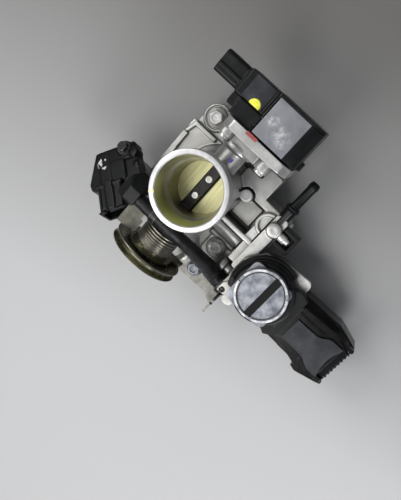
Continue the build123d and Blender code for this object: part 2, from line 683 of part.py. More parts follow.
NODES = {
    "throttle_body": throttle_body,
    "throttle_barrel": throttle_barrel,
    "drum_side_bearing": lambda: shaft_bearing(-42.5, -32),
    "sensor_side_bearing": lambda: shaft_bearing(40, 52),
    "shaft_seals": shaft_seals,
    "manifold_bolts": manifold_bolts,
    "manifold_seal": manifold_seal,
    "port_plug": port_plug,
    "spring_anchor": spring_anchor,
    "spring_anchor_screw": lambda: Pos(*ANCHOR_SCREW, ANCHOR_Z[1]) * pan_screw(13.5, 2.45, 4.2, 2.4),
    "return_spring": return_spring,
    "tps_housing": tps_housing,
    "tps_cover": tps_cover,
    "tps_seal": tps_seal,
    "tps_track": tps_track,
    "tps_screws": tps_screws,
    "tps_terminals": tps_terminals,
    "map_sensor_housing": map_housing,
    "map_sensor_lid": map_lid,
    "map_sensor_seal": map_seal,
    "map_sensor_sleeve": map_sleeve,
    "map_sensor_screw": map_screw,
    "map_sensor_terminals": map_terminals,
    "idle_valve_casting": idle_casting,
    "idle_casting_gasket": idle_casting_gasket,
    "idle_casting_screws": idle_casting_screws,
    "idle_motor_body": idle_motor_body,
    "idle_motor_plate": idle_motor_plate,
    "idle_motor_cap": idle_cap,
    "idle_cap_band": idle_cap_band,
    "idle_motor_coil": idle_coil,
    "idle_spool_bearing": idle_bearing,
    "idle_motor_screws": idle_valve_screws,
    "idle_connector_hood": idle_connector,
    "idle_connector_lid": idle_connector_lid,
    "idle_connector_terminals": idle_terminals,
    "coolant_nipple": coolant_nipple,
    "upper_hose_stub": lambda: hose_stub(HOSE_STUB_A, 16, 35),
    "lower_hose_stub": lambda: hose_stub(HOSE_STUB_B, -76.5, -55),
    "breather_hose": breather_hose,
    "hose_clips": hose_clips,
    "cable_bracket": cable_bracket,
    "cable_bracket_bolt": bracket_bolt,
    "stop_screw": stop_screw,
    "stop_screw_nut": stop_screw_nut,
    "bypass_screw": bypass_screw,
    "bypass_screw_guard": bypass_guard,
    "throttle_shaft": throttle_shaft,
    "throttle_plate": throttle_plate,
    "plate_screws": plate_screws,
    "cable_drum": cable_drum,
    "stop_lever": stop_lever,
    "spring_collar": spring_collar,
    "drum_nut": drum_nut,
    "drum_washer": drum_washer,
    "tps_rotor": tps_rotor,
    "idle_spool": idle_spool,
    "idle_magnet": idle_magnet,
}

os.makedirs("parts", exist_ok=True)
for node, make in NODES.items():
    export_step(make(), f"parts/{node}.step")
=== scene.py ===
import json
import math

import bmesh
import bpy
from mathutils import Matrix, Vector


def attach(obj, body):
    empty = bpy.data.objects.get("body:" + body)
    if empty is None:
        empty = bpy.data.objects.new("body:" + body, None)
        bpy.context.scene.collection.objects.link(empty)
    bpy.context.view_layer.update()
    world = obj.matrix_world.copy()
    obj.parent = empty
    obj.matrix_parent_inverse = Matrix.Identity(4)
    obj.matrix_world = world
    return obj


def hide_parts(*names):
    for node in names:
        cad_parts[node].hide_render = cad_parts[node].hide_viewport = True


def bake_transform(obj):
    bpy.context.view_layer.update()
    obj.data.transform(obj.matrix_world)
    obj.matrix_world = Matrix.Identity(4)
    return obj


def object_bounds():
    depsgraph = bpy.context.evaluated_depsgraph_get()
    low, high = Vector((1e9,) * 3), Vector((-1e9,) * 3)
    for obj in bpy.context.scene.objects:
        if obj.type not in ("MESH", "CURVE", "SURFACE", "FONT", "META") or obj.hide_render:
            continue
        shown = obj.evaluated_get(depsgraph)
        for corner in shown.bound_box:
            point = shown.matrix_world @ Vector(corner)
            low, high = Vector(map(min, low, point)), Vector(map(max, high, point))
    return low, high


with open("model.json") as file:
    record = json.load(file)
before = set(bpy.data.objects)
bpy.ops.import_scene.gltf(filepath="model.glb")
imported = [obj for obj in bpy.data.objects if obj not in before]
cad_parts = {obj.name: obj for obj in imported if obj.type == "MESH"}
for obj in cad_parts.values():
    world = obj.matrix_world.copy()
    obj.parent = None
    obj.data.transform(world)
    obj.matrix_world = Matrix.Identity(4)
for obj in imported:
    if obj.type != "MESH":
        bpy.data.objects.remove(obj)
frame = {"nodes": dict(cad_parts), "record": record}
cad_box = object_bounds()

# Places and sizes of shapes are in mm, in the shared frame. Distances inside materials are in metres.
MM = 0.001
BORE_R = 20.0
SHAFT_Z = 54.0
DRUM_X = (-72.5, -64.8)  # both sides of the cable drum
VALVE = (-31.5, -87.5)  # axis of the idle valve's motor
CAP_R = 21.3
CAP_TOP = 49.5
PORT = (12.3, -25.7)  # bright round plug
BOLTS = ((39.0, 35.0), (-39.0, -35.0))
PAD_TOP = 12.0  # seat of the flange bolts
BRACKET_BOLT = (-66, -33.5, 8.5)
EAR_HOLE = (-54.6, -62.6, 0)
NIPPLE = (0, -59, 26)  # a point on the coolant nipple's axis, along X
BYPASS = (7.8, 0, 29)  # a point on the adjusting screw's axis, along Y
SENSOR_PLUG = (-63, 36.5, 55.5)  # middle of the mouth of the pressure sensor's plug


# ---- node materials ----
class Nodes:
    """Small builder for one node material."""

    def __init__(self, name):
        self.material = bpy.data.materials.new(name)
        self.material.use_nodes = True
        self.tree = self.material.node_tree
        self.shader = self.tree.nodes["Principled BSDF"]
        self.coords = self.tree.nodes.new("ShaderNodeTexCoord").outputs["Object"]

    def add(self, kind, **inputs):
        node = self.tree.nodes.new(kind)
        for key, value in inputs.items():
            self.put(node.inputs[key.replace("_", " ")], value)
        return node

    def put(self, socket, value):
        if isinstance(value, bpy.types.NodeSocket):
            self.tree.links.new(value, socket)
        else:
            socket.default_value = value

    def set(self, **inputs):
        for key, value in inputs.items():
            self.put(self.shader.inputs[key.replace("_", " ")], value)

    def scaled(self, sx, sy, sz):
        """Coordinates that squeeze a noise along the larger factors."""
        node = self.add("ShaderNodeMapping", Vector=self.coords)
        node.inputs["Scale"].default_value = (sx, sy, sz)
        return node.outputs["Vector"]

    def noise(self, scale, detail=4.0, roughness=0.55, vector=None):
        node = self.add("ShaderNodeTexNoise", Vector=vector or self.coords, Scale=scale, Detail=detail,
                        Roughness=roughness)
        return node.outputs["Fac"]

    def spot(self, x, y, reach, ragged=0.5):
        """1 near a point given in mm, seen from above, fading to 0 with a ragged edge."""
        px, py, _ = self.xyz()
        away = self.length(self.math("SUBTRACT", px, x * MM), self.math("SUBTRACT", py, y * MM))
        away = self.math("ADD", away, self.math("MULTIPLY", self.noise(150, 4, 0.65), ragged * reach * MM))
        near, far = ((fraction + 0.5 * ragged) * reach * MM for fraction in (0.35, 1.0))
        return self.ramp(away, 1.0, 0.0, near, far)

    def ramp(self, value, low, high, from_low=0.0, from_high=1.0):
        """The value's range from_low to from_high, carried over to low to high and held there outside it."""
        node = self.add("ShaderNodeMapRange", Value=value, From_Min=from_low, From_Max=from_high, To_Min=low,
                        To_Max=high)
        return node.outputs["Result"]

    def mottle(self, scale, detail, start, end, dark, light):
        """Colour that wanders from dark to light."""
        return self.mix(self.ramp(self.noise(scale, detail), 0.0, 1.0, start, end), rgb(*dark), rgb(*light))

    def mix(self, factor, a, b):
        node = self.tree.nodes.new("ShaderNodeMix")
        node.data_type = "RGBA"
        for index, value in ((0, factor), (6, a), (7, b)):
            self.put(node.inputs[index], value)
        return node.outputs[2]

    def math(self, operation, a, b=0.0):
        node = self.tree.nodes.new("ShaderNodeMath")
        node.operation = operation
        self.put(node.inputs[0], a)
        self.put(node.inputs[1], b)
        return node.outputs[0]

    def length(self, a, b):
        squares = self.math("ADD", self.math("MULTIPLY", a, a), self.math("MULTIPLY", b, b))
        return self.math("SQRT", squares)

    def bump(self, height, strength, distance, normal=None):
        node = self.add("ShaderNodeBump", Height=height, Strength=strength, Distance=distance)
        if normal:
            self.put(node.inputs["Normal"], normal)
        return node.outputs["Normal"]

    def xyz(self):
        return self.add("ShaderNodeSeparateXYZ", Vector=self.coords).outputs

    def hollows(self, reach):
        """1 in the open, and less in grooves and corners."""
        node = self.tree.nodes.new("ShaderNodeAmbientOcclusion")
        node.samples = 6
        node.inputs["Distance"].default_value = reach
        return node.outputs["AO"]

    def edges(self, radius):
        """1 on worn edges and 0 on flat faces."""
        bevel = self.tree.nodes.new("ShaderNodeBevel")
        bevel.samples = 4
        bevel.inputs["Radius"].default_value = radius
        geometry = self.tree.nodes.new("ShaderNodeNewGeometry")
        dot = self.tree.nodes.new("ShaderNodeVectorMath")
        dot.operation = "DOT_PRODUCT"
        self.put(dot.inputs[0], bevel.outputs[0])
        self.put(dot.inputs[1], geometry.outputs["Normal"])
        return self.ramp(dot.outputs["Value"], 1.0, 0.0, 0.82, 0.99)


def rgb(r, g, b):
    return (r, g, b, 1.0)


def cast_aluminium():
    n = Nodes("cast_aluminium")
    tone = n.mottle(60, 5, 0.35, 0.7, (0.36, 0.36, 0.35), (0.64, 0.635, 0.62))
    stain = n.ramp(n.noise(28, 3), 0.0, 0.6, 0.52, 0.72)
    tone = n.mix(stain, tone, rgb(0.27, 0.26, 0.22))
    # painted shade: ambient occlusion darkens the colour in tight crevices and in broad recesses
    crevice_shade = n.ramp(n.hollows(0.006), 0.9, 0.0, 0.38, 0.88)
    tone = n.mix(crevice_shade, tone, rgb(0.10, 0.095, 0.08))
    recess_shade = n.ramp(n.hollows(0.022), 0.65, 0.0, 0.42, 0.92)
    tone = n.mix(recess_shade, tone, rgb(0.20, 0.195, 0.18))
    worn = n.math("MULTIPLY", n.edges(0.0006), n.ramp(n.noise(300, 2), 0.3, 0.95))
    n.set(Base_Color=n.mix(worn, tone, rgb(0.82, 0.81, 0.79)), Metallic=0.74,
          Roughness=n.ramp(n.noise(180, 3), 0.32, 0.48))
    grain = n.bump(n.noise(1500, 3, 0.7), 0.35, 0.0001)
    n.set(Normal=n.bump(n.noise(220, 2), 0.20, 0.0004, grain))
    return n.material


def machined(name, light, dark, rough, metallic, pitch=None):
    """Bright cut metal. With a pitch in mm it has tool marks round the bore's axis, or else a fine grain."""
    n = Nodes(name)
    n.set(Base_Color=n.mottle(140, 4, 0.35, 0.68, dark, light), Metallic=metallic,
          Roughness=n.ramp(n.noise(400, 3), *rough))
    if pitch:
        x, y, _ = n.xyz()
        rings = n.math("SINE", n.math("MULTIPLY", n.length(x, y), 2 * math.pi / (pitch * MM)))
        marks = n.math("ADD", rings, n.noise(600, 3))
    else:
        marks = n.noise(900, 2, 0.6)
    n.set(Normal=n.bump(marks, 0.12, 0.00004))
    return n.material


def bore_metal(pitch=0.6):
    """Cut bore with an olive tint, a painted yellow highlight at the mouth's left side and painted brown shade above
    the left shaft hole.
    """
    n = Nodes("bore_metal")
    x, y, z = n.xyz()
    tint = n.mottle(45, 4, 0.3, 0.7, (0.17, 0.165, 0.10), (0.44, 0.42, 0.23))
    # painted highlight: the left wall near the mouth is mixed to bright yellow
    left = n.ramp(n.math("ADD", x, n.math("MULTIPLY", n.noise(60, 3), 0.006)), 1.0, 0.0, -0.016, 0.004)
    mouth = n.ramp(n.math("SUBTRACT", z, n.math("MULTIPLY", y, 0.45)), 0.0, 0.9, 0.074, 0.096)
    tint = n.mix(n.math("MULTIPLY", left, mouth), tint, rgb(0.82, 0.86, 0.30))
    # painted shade: dark brown above the left shaft hole
    away = n.length(y, n.math("SUBTRACT", z, (SHAFT_Z + 8) * MM))
    shade = n.math("MULTIPLY", n.ramp(away, 0.9, 0.0, 0.006, 0.017), left)
    tint = n.mix(shade, tint, rgb(0.045, 0.032, 0.030))
    n.set(Base_Color=tint, Metallic=0.6, Roughness=n.ramp(n.noise(200, 3), 0.26, 0.40))
    rings = n.math("SINE", n.math("MULTIPLY", z, 2 * math.pi / (pitch * MM)))
    n.set(Normal=n.bump(n.math("ADD", rings, n.noise(500, 3)), 0.10, 0.00004))
    return n.material


def brass_plate():
    """Yellow butterfly plate with streaks along it and darker smudges."""
    n = Nodes("plate_brass")
    streaks = n.noise(160, 4, 0.6, n.scaled(0.25, 3.0, 1.0))
    tone = n.mix(n.ramp(streaks, 0.0, 1.0, 0.3, 0.7), rgb(0.66, 0.62, 0.30), rgb(0.86, 0.83, 0.50))
    smudge = n.ramp(n.noise(55, 4), 0.0, 0.5, 0.5, 0.75)
    n.set(Base_Color=n.mix(smudge, tone, rgb(0.50, 0.47, 0.22)), Metallic=0.45,
          Roughness=n.ramp(n.noise(240, 3), 0.34, 0.5))
    n.set(Normal=n.bump(streaks, 0.10, 0.00005))
    return n.material


def plastic(name, base, light, rough, grain=0.12, wear=0.35, dust=0.15):
    """Moulded plastic with fine texture, rubbed edges and dust."""
    n = Nodes(name)
    tone = n.mottle(90, 4, 0.35, 0.75, base, light)
    dusty = n.math("MULTIPLY", n.ramp(n.noise(40, 6, 0.7), 0.0, 1.0, 0.52, 0.8), dust)
    tone = n.mix(dusty, tone, rgb(0.10, 0.10, 0.095))
    worn = n.math("MULTIPLY", n.edges(0.0004), n.ramp(n.noise(260, 3), 0.0, wear, 0.45, 0.8))
    n.set(Base_Color=n.mix(worn, tone, rgb(0.14, 0.14, 0.15)), Roughness=n.ramp(n.noise(150, 4), *rough),
          Specular_IOR_Level=0.20)
    scratches = n.noise(120, 3, 0.5, n.scaled(0.4, 6.0, 6.0))
    fine = n.bump(n.noise(2200, 2, 0.7), grain, 0.00006)
    n.set(Normal=n.bump(n.ramp(scratches, 0.0, 1.0, 0.6, 0.72), 0.08, 0.00004, fine))
    return n.material


def scuffed_grey():
    """Grey sensor lid: satin plastic with pale rubbed scuffs."""
    n = Nodes("scuffed_grey")
    tone = n.mottle(70, 4, 0.3, 0.7, (0.13, 0.135, 0.15), (0.23, 0.235, 0.255))
    scuff = n.ramp(n.noise(120, 7, 0.75), 0.0, 0.5, 0.60, 0.72)
    rubbed = n.math("MAXIMUM", n.spot(67, -21, 8, 1.0), n.spot(71.5, -10, 5, 1.0))
    tone = n.mix(n.math("MULTIPLY", rubbed, n.ramp(n.noise(210, 6, 0.7), 0.05, 0.9, 0.42, 0.62)), tone,
                 rgb(0.62, 0.63, 0.64))
    tone = n.mix(scuff, tone, rgb(0.42, 0.43, 0.45))
    worn = n.math("MULTIPLY", n.edges(0.0005), n.ramp(n.noise(260, 3), 0.1, 0.8))
    n.set(Base_Color=n.mix(worn, tone, rgb(0.5, 0.5, 0.52)), Metallic=0.1,
          Roughness=n.ramp(n.noise(150, 4), 0.30, 0.5))
    n.set(Normal=n.bump(n.noise(900, 3), 0.18, 0.00008))
    return n.material


def steel(name, light, dark, rough, metallic=0.9, rust=0.0, relief=0.15):
    """Plated or oiled steel, mottled, with a fine grain and paler edges."""
    n = Nodes(name)
    tone = n.mottle(170, 5, 0.32, 0.7, dark, light)
    if rust:
        spots = n.ramp(n.noise(320, 5, 0.7), 0.0, rust, 0.58, 0.72)
        tone = n.mix(spots, tone, rgb(0.20, 0.12, 0.055))
    worn = n.math("MULTIPLY", n.edges(0.0004), 0.5)
    n.set(Base_Color=n.mix(worn, tone, rgb(0.72, 0.72, 0.7)), Metallic=metallic,
          Roughness=n.ramp(n.noise(350, 3), *rough))
    n.set(Normal=n.bump(n.noise(1400, 2, 0.6), relief, 0.00005))
    return n.material


def rubber():
    n = Nodes("black_rubber")
    tone = n.mottle(80, 5, 0.4, 0.75, (0.004, 0.004, 0.0045), (0.014, 0.014, 0.015))
    n.set(Base_Color=tone, Roughness=n.ramp(n.noise(160, 4), 0.36, 0.55), Specular_IOR_Level=0.3)
    n.set(Normal=n.bump(n.noise(700, 4), 0.22, 0.00012))
    return n.material


def paint(name, base, light):
    n = Nodes(name)
    n.set(Base_Color=n.mottle(400, 4, 0.35, 0.7, base, light), Roughness=n.ramp(n.noise(500, 3), 0.38, 0.6),
          Coat_Weight=0.15)
    n.set(Normal=n.bump(n.noise(800, 3), 0.25, 0.0001))
    return n.material


MATERIALS = {
    "cast": cast_aluminium(),
    "face": machined("machined_face", (0.68, 0.67, 0.675), (0.53, 0.525, 0.53), (0.32, 0.48), 0.6, pitch=0.35),
    "satin": machined("bright_aluminium", (0.30, 0.315, 0.35), (0.10, 0.106, 0.125), (0.30, 0.48), 0.45),
    "rim": machined("worn_rim", (0.66, 0.67, 0.70), (0.17, 0.175, 0.19), (0.22, 0.40), 0.6),
    "bore": bore_metal(),
    "brass": brass_plate(),
    "black": plastic("black_plastic", (0.0035, 0.0037, 0.004), (0.0085, 0.009, 0.0095), (0.26, 0.42)),
    "gloss": plastic("gloss_plastic", (0.003, 0.003, 0.0033), (0.006, 0.006, 0.0065), (0.16, 0.30), grain=0.06),
    "charcoal": plastic("charcoal_plastic", (0.022, 0.023, 0.026), (0.050, 0.052, 0.058), (0.26, 0.40), grain=0.10),
    "matt": plastic("matt_black", (0.002, 0.002, 0.002), (0.005, 0.005, 0.005), (0.55, 0.72), grain=0.2, wear=0.1,
                    dust=0.05),
    "grey": scuffed_grey(),
    "zinc": steel("zinc_steel", (0.88, 0.87, 0.85), (0.64, 0.63, 0.60), (0.16, 0.30), 0.55, relief=0.05),
    "sheet": steel("sheet_steel", (0.34, 0.335, 0.31), (0.16, 0.155, 0.135), (0.42, 0.6), 0.4, rust=0.3),
    "olive": steel("olive_plate", (0.125, 0.12, 0.095), (0.055, 0.052, 0.04), (0.40, 0.58), 0.4, rust=0.25),
    "bright": steel("bearing_steel", (0.66, 0.66, 0.67), (0.46, 0.46, 0.47), (0.16, 0.3)),
    "spring": steel("spring_steel", (0.34, 0.32, 0.27), (0.17, 0.155, 0.125), (0.24, 0.4), rust=0.4),
    "drum": steel("drum_steel", (0.27, 0.26, 0.16), (0.10, 0.095, 0.06), (0.18, 0.34), 0.85, rust=0.2),
    "dark": steel("black_steel", (0.022, 0.021, 0.020), (0.006, 0.006, 0.006), (0.28, 0.44), 0.3),
    "shaft": steel("shaft_black", (0.035, 0.03, 0.028), (0.010, 0.009, 0.009), (0.3, 0.48), 0.4),
    "rubber": rubber(),
    "tin": steel("tinned_brass", (0.72, 0.70, 0.62), (0.5, 0.47, 0.38), (0.2, 0.34)),
    "copper": steel("copper_wire", (0.62, 0.32, 0.16), (0.4, 0.18, 0.08), (0.25, 0.4)),
    "magnet": steel("magnet_grey", (0.2, 0.2, 0.21), (0.1, 0.1, 0.11), (0.4, 0.6), 0.5),
    "board": plastic("board_green", (0.05, 0.16, 0.07), (0.09, 0.23, 0.11), (0.3, 0.5)),
    "yellow": paint("yellow_paint", (0.78, 0.76, 0.015), (0.92, 0.93, 0.10)),
    "red": paint("red_paint", (0.24, 0.035, 0.035), (0.36, 0.075, 0.07)),
    "violet": paint("violet_ink", (0.10, 0.05, 0.32), (0.20, 0.13, 0.45)),
    "chalk": paint("chalk_mark", (0.42, 0.42, 0.42), (0.80, 0.80, 0.80)),
}

# The material that each slot of the record gets.
SLOT_LOOK = {
    "cast_aluminium": "cast", "bright_aluminium": "satin", "zinc_steel": "zinc", "bearing_steel": "bright",
    "spring_steel": "spring", "drum_steel": "drum", "black_steel": "dark", "plate_brass": "brass",
    "tinned_brass": "tin", "copper_wire": "copper", "magnet_grey": "magnet", "black_plastic": "black",
    "grey_plastic": "charcoal", "board_green": "board", "black_rubber": "rubber",
}
NODE_SLOT = {part["node"]: part["material_slot"] for part in frame["record"]["subparts"]}


# ---- shapes: (points in mm, faces) ----
def merge(*shapes):
    points, faces = [], []
    for some_points, some_faces in shapes:
        base = len(points)
        points += some_points
        faces += [tuple(base + i for i in face) for face in some_faces]
    return points, faces


def placed(shape, matrix):
    return [tuple(matrix @ Vector(p)) for p in shape[0]], shape[1]


def moved(shape, x, y, z):
    return placed(shape, Matrix.Translation((x, y, z)))


def along_x(shape):
    """Turns a shape drawn about Z so that its axis is X."""
    return placed(shape, Matrix.Rotation(math.pi / 2, 4, "Y"))


def along_y(shape):
    """Turns a shape drawn about Z so that its axis is Y, with its outline's +Y to -Z."""
    return placed(shape, Matrix.Rotation(-math.pi / 2, 4, "X"))


def prism(outline, z0, z1):
    """Straight bar from an outline of (x, y) points."""
    count = len(outline)
    points = [(x, y, z0) for x, y in outline] + [(x, y, z1) for x, y in outline]
    faces = [tuple(range(count))[::-1], tuple(range(count, 2 * count))]
    faces += [(i, (i + 1) % count, count + (i + 1) % count, count + i) for i in range(count)]
    return points, faces


def box(x0, x1, y0, y1, z0, z1):
    return prism([(x0, y0), (x1, y0), (x1, y1), (x0, y1)], z0, z1)


def rounded(x0, x1, y0, y1, radius, steps=6):
    """Outline of a rectangle with round corners."""
    outline = []
    corners = ((x1 - radius, y1 - radius, 0), (x0 + radius, y1 - radius, 90), (x0 + radius, y0 + radius, 180),
               (x1 - radius, y0 + radius, 270))
    for cx, cy, start in corners:
        for i in range(steps + 1):
            angle = math.radians(start + 90 * i / steps)
            outline.append((cx + radius * math.cos(angle), cy + radius * math.sin(angle)))
    return outline


def arc_bar(r0, r1, z0, z1, first, last):
    """Part of a ring, from one heading to another in degrees."""
    steps = max(3, int((last - first) / 4))
    turns = [math.radians(first + (last - first) * i / steps) for i in range(steps + 1)]
    outer = [(r1 * math.cos(a), r1 * math.sin(a)) for a in turns]
    inner = [(r0 * math.cos(a), r0 * math.sin(a)) for a in reversed(turns)]
    return prism(outer + inner, z0, z1)


def flat_sided(shape, x_min):
    """The shape with everything beyond x_min pressed flat."""
    return [(max(x, x_min), y, z) for x, y, z in shape[0]], shape[1]


def skin(rows, count):
    """Faces between closed rows of points, one row after another."""
    return [(i * count + k, i * count + (k + 1) % count, (i + 1) * count + (k + 1) % count, (i + 1) * count + k)
            for i in range(rows - 1) for k in range(count)]


def lathe(profile, segments=72, closed=False):
    """Turned shape about Z from (radius, z) points. A closed profile makes a ring."""
    points, rings = [], []
    for radius, z in profile:
        if radius < 1e-6 and not closed:
            rings.append([len(points)] * segments)
            points.append((0.0, 0.0, z))
        else:
            rings.append(list(range(len(points), len(points) + segments)))
            for i in range(segments):
                angle = 2 * math.pi * i / segments
                points.append((radius * math.cos(angle), radius * math.sin(angle), z))
    faces = []
    pairs = list(zip(rings, rings[1:])) + ([(rings[-1], rings[0])] if closed else [])
    for low, high in pairs:
        for i in range(segments):
            j = (i + 1) % segments
            face = [low[i], low[j], high[j], high[i]]
            face = [v for k, v in enumerate(face) if v != face[k - 1]]
            if len(face) > 2:
                faces.append(tuple(face))
    return points, faces


def rod_along_y(x, z, y0, y1, radius):
    """Closed round bar parallel to Y, with chamfered ends."""
    bar = lathe([(0, y0), (radius - 0.5, y0), (radius, y0 + 0.5), (radius, y1 - 0.5), (radius - 0.5, y1), (0, y1)],
                36)
    return moved(along_y(bar), x, 0, z)


def tube(path, radii, segments):
    """Round bar along points, with one radius for each."""
    path = [Vector(p) for p in path]
    points, normal = [], None
    for i, here in enumerate(path):
        tangent = (path[min(i + 1, len(path) - 1)] - path[max(i - 1, 0)]).normalized()
        if normal is None:
            normal = tangent.orthogonal().normalized()
        normal = (normal - tangent * normal.dot(tangent)).normalized()
        side = tangent.cross(normal)
        for k in range(segments):
            angle = 2 * math.pi * k / segments
            points.append(tuple(here + (normal * math.cos(angle) + side * math.sin(angle)) * radii[i]))
    ends = [tuple(range(segments))[::-1], tuple(range((len(path) - 1) * segments, len(path) * segments))]
    return points, skin(len(path), segments) + ends


def smooth_route(corners, steps):
    """Points on a Catmull-Rom curve through the corners."""
    ends = [corners[0]] + list(corners) + [corners[-1]]
    route = []
    for a, b, c, d in zip(ends, ends[1:], ends[2:], ends[3:]):
        a, b, c, d = map(Vector, (a, b, c, d))
        for i in range(steps):
            t = i / steps
            route.append(0.5 * (2 * b + (c - a) * t + (2 * a - 5 * b + 4 * c - d) * t * t
                                + (3 * b - a - 3 * c + d) * t ** 3))
    return route + [Vector(corners[-1])]


def hex_bolt(across, flange_r, height, sides=72):
    """Flanged hexagon head on z 0, with chamfered corners and a dished top."""
    flat = across / 2
    columns = []
    for i in range(sides):
        angle = 2 * math.pi * i / sides
        corner = flat / math.cos((angle + math.pi / 6) % (math.pi / 3) - math.pi / 6)
        corner = min(corner, flat * 1.125)
        profile = ((flange_r * 0.985, 0.0), (flange_r, 0.5), (flange_r * 0.95, 1.2), (corner + 0.35, 2.2),
                   (corner, height - 0.9 - (corner - flat) * 0.7), (corner * 0.88, height), (flat * 0.62, height),
                   (flat * 0.5, height - 0.8))
        columns.append([(radius * math.cos(angle), radius * math.sin(angle), z) for radius, z in profile])
    points = [point for row in zip(*columns) for point in row]
    top, middle = len(points) - sides, len(points)
    fan = [(top + i, top + (i + 1) % sides, middle) for i in range(sides)]
    faces = [tuple(range(sides))[::-1]] + skin(len(points) // sides, sides) + fan
    return points + [(0.0, 0.0, height - 0.95)], faces


# ---- objects ----
def link(name, mesh, look, body="housing", stands_for=(), slot=None):
    """Puts a mesh into the scene. A slot, that of the first node it stands for unless one is given, is worked out
    but not used.
    """
    obj = bpy.data.objects.new(name, mesh)
    bpy.context.scene.collection.objects.link(obj)
    for key in look if isinstance(look, (list, tuple)) else [look]:
        mesh.materials.append(MATERIALS[key])
    if body:
        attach(obj, body)
    if stands_for:
        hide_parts(*stands_for)
        slot = slot or NODE_SLOT[stands_for[0]]
    return obj


def shade_smooth(mesh):
    mesh.polygons.foreach_set("use_smooth", [True] * len(mesh.polygons))


def mesh_from(name, shape, sharp=32):
    mesh = bpy.data.meshes.new(name)
    mesh.from_pydata([tuple(c * MM for c in p) for p in shape[0]], [], shape[1])
    work = bmesh.new()
    work.from_mesh(mesh)
    bmesh.ops.recalc_face_normals(work, faces=work.faces)
    work.to_mesh(mesh)
    work.free()
    shade_smooth(mesh)
    mesh.set_sharp_from_angle(angle=math.radians(sharp))
    return mesh


def bevelled(obj, width):
    bevel = obj.modifiers.new("bevel", "BEVEL")
    bevel.width = width * MM
    bevel.segments = 2
    bevel.limit_method = "ANGLE"
    bevel.angle_limit = math.radians(28)
    bevel.harden_normals = True
    return obj


def piece(name, shape, look, body="housing", stands_for=(), slot=None, bevel=0.0, sharp=32):
    obj = link(name, mesh_from(name, shape, 180 if bevel else sharp), look, body, stands_for, slot)
    return bevelled(obj, bevel) if bevel else obj


def helper_object(name, mesh):
    helper = bpy.data.objects.new(name, mesh)
    bpy.context.scene.collection.objects.link(helper)
    return helper


def remeshed(obj, name, voxel):
    remesh = obj.modifiers.new(name, "REMESH")
    remesh.mode = "VOXEL"
    remesh.voxel_size = voxel * MM


def moulded(name, nodes, extra, cuts, look, voxel=0.4, smooth=2, keep=0.4):
    """CAD nodes plus extra detail, run together and softened like a casting or a moulding."""
    work = bmesh.new()
    for node in nodes:
        work.from_mesh(frame["nodes"][node].data)
    for shape in extra:
        work.from_mesh(mesh_from("detail", shape))
    bmesh.ops.remove_doubles(work, verts=work.verts, dist=1e-6)
    raw = bpy.data.meshes.new(name + "_raw")
    work.to_mesh(raw)
    work.free()
    helper = helper_object(name + "_raw", raw)
    helpers = [helper]
    remeshed(helper, "remesh", voxel)
    if cuts:
        cutter = helper_object(name + "_cut", mesh_from("cut", merge(*cuts)))
        helpers.append(cutter)
        remeshed(cutter, "remesh", voxel)
        cut = helper.modifiers.new("cut", "BOOLEAN")
        cut.operation = "DIFFERENCE"
        cut.object = cutter
        cut.solver = "MANIFOLD"
        remeshed(helper, "again", voxel)
    soften = helper.modifiers.new("soften", "SMOOTH")
    soften.factor = 0.5
    soften.iterations = smooth
    thin = helper.modifiers.new("thin", "DECIMATE")
    thin.ratio = keep
    mesh = bpy.data.meshes.new_from_object(helper.evaluated_get(bpy.context.evaluated_depsgraph_get()))
    mesh.name = name
    for spare in helpers:
        bpy.data.objects.remove(spare)
    mesh.materials.clear()
    shade_smooth(mesh)
    mesh.polygons.foreach_set("material_index", [0] * len(mesh.polygons))
    link(name, mesh, look, stands_for=nodes)


# ---- main casting ----
def inlet_barrel():
    """Cut inlet lip and bore wall, as one turned piece: bright outside and tinted inside."""
    lip = [(24.7, 95.2), (25.5, 96), (28.2, 96), (28.7, 95.8), (29, 95.3), (29, 85.2), (28.4, 84.2), (24.0, 81)]
    outside = [(21.9, 76), (21.9, 2.2), (21.5, 0.1), (20.3, 0.1), (BORE_R, 0.4)]
    inside = [(BORE_R, 66), (20.9, 71), (22.3, 80)]
    shape = lathe(lip + outside + inside, 160, closed=True)
    obj = piece("inlet_barrel", shape, ["face", "bore"], stands_for=["throttle_barrel"], sharp=25)
    mouth_r, mouth_z = 24.9 * MM, 95.6 * MM
    for polygon in obj.data.polygons:
        x, y, z = polygon.center
        polygon.material_index = 1 if math.hypot(x, y) < mouth_r and z < mouth_z else 0


